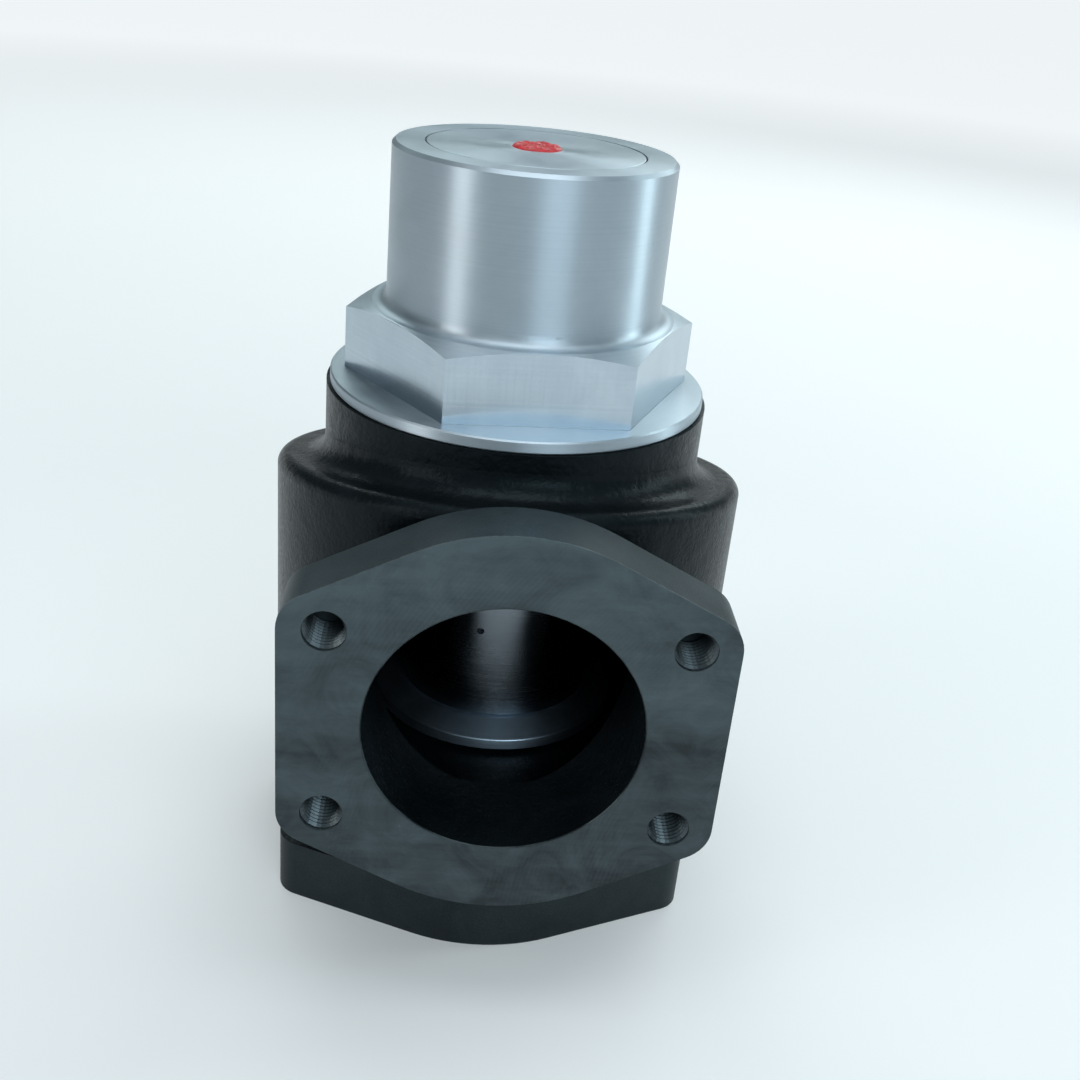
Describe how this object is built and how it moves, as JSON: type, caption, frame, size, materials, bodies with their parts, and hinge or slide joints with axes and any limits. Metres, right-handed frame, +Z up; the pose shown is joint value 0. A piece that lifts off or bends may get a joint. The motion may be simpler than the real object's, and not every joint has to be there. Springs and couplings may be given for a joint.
{
  "type": "minimum pressure valve",
  "caption": "Angle-pattern spring-loaded minimum pressure and check valve with flanged ports, cast body, turned bonnet and sealed adjusting plug.",
  "frame": {"origin": "centre of the inlet port's face, on the valve's axis", "axes": "+Z up the valve's axis towards the adjusting plug, the outlet port faces -Y, +X to the right seen from the outlet"},
  "size_m": [0.1936, 0.2158, 0.3264],
  "materials": {
    "cast_iron_black": "rough cast, blackened, machined faces",
    "aluminium_turned": "bright satin turned",
    "steel_ground": "ground",
    "steel_dark": "oiled spring steel",
    "bronze": "turned",
    "guide_plastic": "filled guide strip",
    "seal_rubber": "moulded",
    "wax_red": "set sealing wax"
  },
  "bodies": {
    "housing": {"valve_body": "cast_iron_black", "bonnet": "aluminium_turned", "guide_sleeve": "steel_ground", "bonnet_o_ring": "seal_rubber", "sleeve_o_ring": "seal_rubber"},
    "check_valve": {"check_disc": "steel_ground", "disc_seal": "seal_rubber", "seal_retainer": "steel_ground", "stem_bolt": "steel_dark", "lock_washer": "steel_dark", "stem_nut": "steel_dark", "check_spring": "steel_dark"},
    "piston_assembly": {"piston": "steel_ground", "piston_guide_ring_lower": "guide_plastic", "piston_guide_ring_upper": "guide_plastic", "piston_seal_ring": "guide_plastic", "stem_bush": "bronze", "bush_circlip": "steel_dark", "spring_foot": "steel_dark"},
    "spring_loader": {"spring_rest": "steel_dark", "main_spring": "steel_dark"},
    "preload_plug": {"adjusting_plug": "aluminium_turned", "plug_o_ring": "seal_rubber", "tamper_seal": "wax_red"}
  },
  "joints": [
    {"name": "disc_lift", "type": "slide", "parent": "housing", "child": "check_valve", "axis": [0, 0, 1], "range_m": [0, 0.012], "stiffness_N_per_m": 4000, "springref_m": -0.01, "deforming": ["main_spring"]},
    {"name": "piston_lift", "type": "slide", "parent": "check_valve", "child": "piston_assembly", "axis": [0, 0, 1], "range_m": [0, 0.008], "stiffness_N_per_m": 3000, "springref_m": -0.01, "deforming": ["main_spring", "check_spring"]},
    {"name": "preload_slide", "type": "slide", "parent": "housing", "child": "spring_loader", "axis": [0, 0, 1], "range_m": [-0.0061, 0.0001], "deforming": ["main_spring"]},
    {"name": "plug_turn", "type": "hinge", "parent": "spring_loader", "child": "preload_plug", "pos_m": [0, 0, 0.3238], "axis": [0, 0, 1], "range_deg": [-1080, 0]}
  ],
  "couplings": [
    {"joint": "preload_slide", "follows": "plug_turn", "m_per_rad": 0.00031831}
  ]
}
